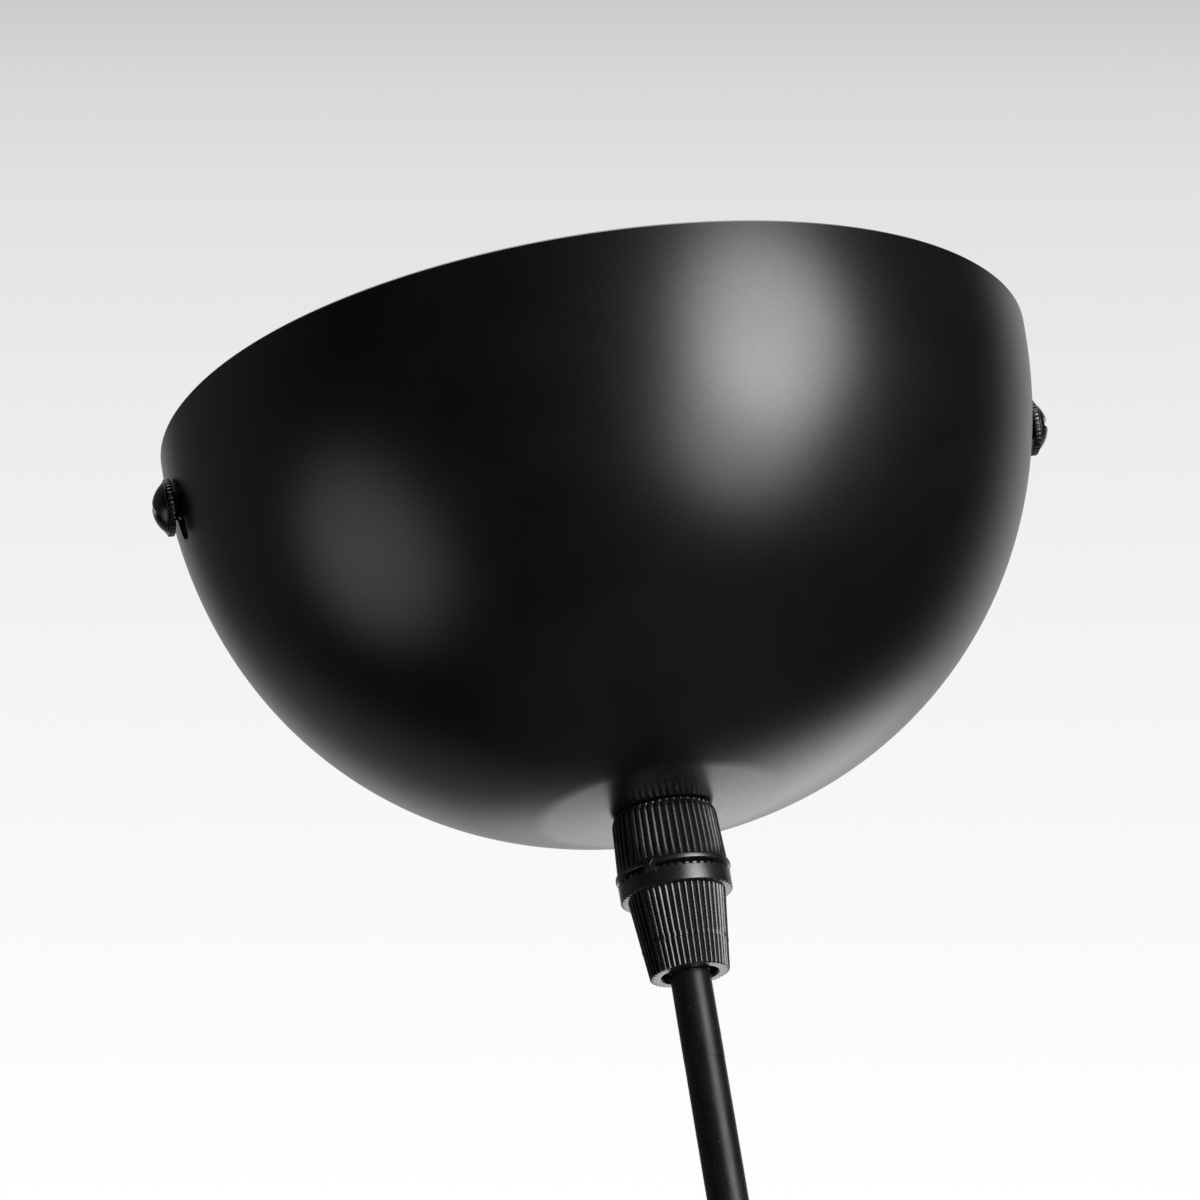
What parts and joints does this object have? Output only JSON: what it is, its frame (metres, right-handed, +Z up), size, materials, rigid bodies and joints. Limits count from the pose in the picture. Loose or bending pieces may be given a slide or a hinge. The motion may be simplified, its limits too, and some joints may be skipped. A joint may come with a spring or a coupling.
{
  "type": "pendant ceiling light",
  "caption": "Black pendant light: cup canopy on a ceiling bracket, side screws, ribbed cord grip, hanging cord and lampholder.",
  "frame": {"origin": "centre of the bracket's flat top face, on the ceiling", "axes": "+Z up into the ceiling; X through the two side screws; the light hangs towards -Z"},
  "size_m": [0.1254, 0.12, 0.2474],
  "materials": {
    "powder_coat": "satin black powder coat",
    "black_plastic": "fine-grained moulded plastic",
    "black_screw": "blackened steel",
    "zinc_steel": "zinc plated",
    "brass": "plain brass",
    "nylon": "natural nylon",
    "porcelain": "glazed ceramic",
    "cord_sheath": "satin black PVC",
    "brown_core": "brown PVC",
    "blue_core": "blue PVC",
    "earth_core": "green PVC with a yellow stripe"
  },
  "bodies": {
    "bracket": {"ceiling_bracket": "zinc_steel", "terminal_block": "nylon", "terminal_tube_1": "brass", "terminal_tube_2": "brass", "terminal_tube_3": "brass", "terminal_screw_1": "zinc_steel", "terminal_screw_2": "zinc_steel", "terminal_screw_3": "zinc_steel", "terminal_screw_4": "zinc_steel", "terminal_screw_5": "zinc_steel", "terminal_screw_6": "zinc_steel", "block_screw_1": "zinc_steel", "block_screw_2": "zinc_steel", "earth_jumper_lug": "zinc_steel", "earth_cup_lug": "zinc_steel", "earth_washer": "zinc_steel", "earth_screw": "brass", "earth_jumper": "earth_core"},
    "canopy": {"canopy_cup": "powder_coat", "grip_body": "black_plastic", "canopy_earth_lug": "zinc_steel", "lock_washer": "zinc_steel", "lock_nut": "zinc_steel", "cord_tail": "cord_sheath", "wire_live": "brown_core", "wire_neutral": "blue_core", "canopy_earth_wire": "earth_core"},
    "left_washer": {"side_washer_left": "black_screw"},
    "left_screw": {"side_screw_left": "black_screw"},
    "right_washer": {"side_washer_right": "black_screw"},
    "right_screw": {"side_screw_right": "black_screw"},
    "collet": {"grip_collet": "black_plastic"},
    "cap": {"grip_cap": "black_plastic"},
    "cord_root": {"cord_neck": "cord_sheath"},
    "pendulum": {"cord": "cord_sheath", "holder_grip_cap": "black_plastic", "holder_collet": "black_plastic", "holder_cap": "black_plastic", "holder_barrel": "black_plastic", "holder_core": "porcelain", "screw_shell": "brass", "centre_contact": "brass", "holder_terminal_1": "brass", "holder_wire_1": "brown_core", "holder_terminal_2": "brass", "holder_wire_2": "blue_core"},
    "ring": {"shade_ring": "black_plastic"}
  },
  "joints": [
    {"name": "canopy_height", "type": "slide", "parent": "bracket", "child": "canopy", "axis": [0, 0, 1], "range_m": [0, 0.0025], "deforming": ["wire_live", "wire_neutral", "canopy_earth_wire"]},
    {"name": "left_screw_travel", "type": "slide", "parent": "bracket", "child": "left_washer", "axis": [-1, 0, 0], "range_m": [0, 0.0021]},
    {"name": "left_screw_turn", "type": "hinge", "parent": "left_washer", "child": "left_screw", "pos_m": [0, 0, -0.0129], "axis": [-1, 0, 0], "range_deg": [0, 1081]},
    {"name": "right_screw_travel", "type": "slide", "parent": "bracket", "child": "right_washer", "axis": [1, 0, 0], "range_m": [0, 0.0021]},
    {"name": "right_screw_turn", "type": "hinge", "parent": "right_washer", "child": "right_screw", "pos_m": [0, 0, -0.0129], "axis": [1, 0, 0], "range_deg": [0, 1081]},
    {"name": "grip_cap_travel", "type": "slide", "parent": "canopy", "child": "collet", "axis": [0, 0, -1], "range_m": [0, 0.0025]},
    {"name": "grip_cap_turn", "type": "hinge", "parent": "collet", "child": "cap", "pos_m": [0, 0, -0.077], "axis": [0, 0, -1], "range_deg": [0, 721]},
    {"name": "swing_sideways", "type": "hinge", "parent": "canopy", "child": "cord_root", "pos_m": [0, 0, -0.09241], "axis": [0, 1, 0], "range_deg": [-25, 25], "deforming": ["cord_neck"]},
    {"name": "swing_fore_aft", "type": "hinge", "parent": "cord_root", "child": "pendulum", "pos_m": [0, 0, -0.10441], "axis": [1, 0, 0], "range_deg": [-25, 25], "deforming": ["cord"]},
    {"name": "shade_ring_turn", "type": "hinge", "parent": "pendulum", "child": "ring", "pos_m": [0, 0, -0.2345], "axis": [0, 0, -1], "continuous": true}
  ],
  "couplings": [
    {"joint": "left_screw_turn", "follows": "left_screw_travel", "rad_per_m": 8976},
    {"joint": "right_screw_turn", "follows": "right_screw_travel", "rad_per_m": 8976},
    {"joint": "grip_cap_turn", "follows": "grip_cap_travel", "rad_per_m": 5026.5}
  ]
}
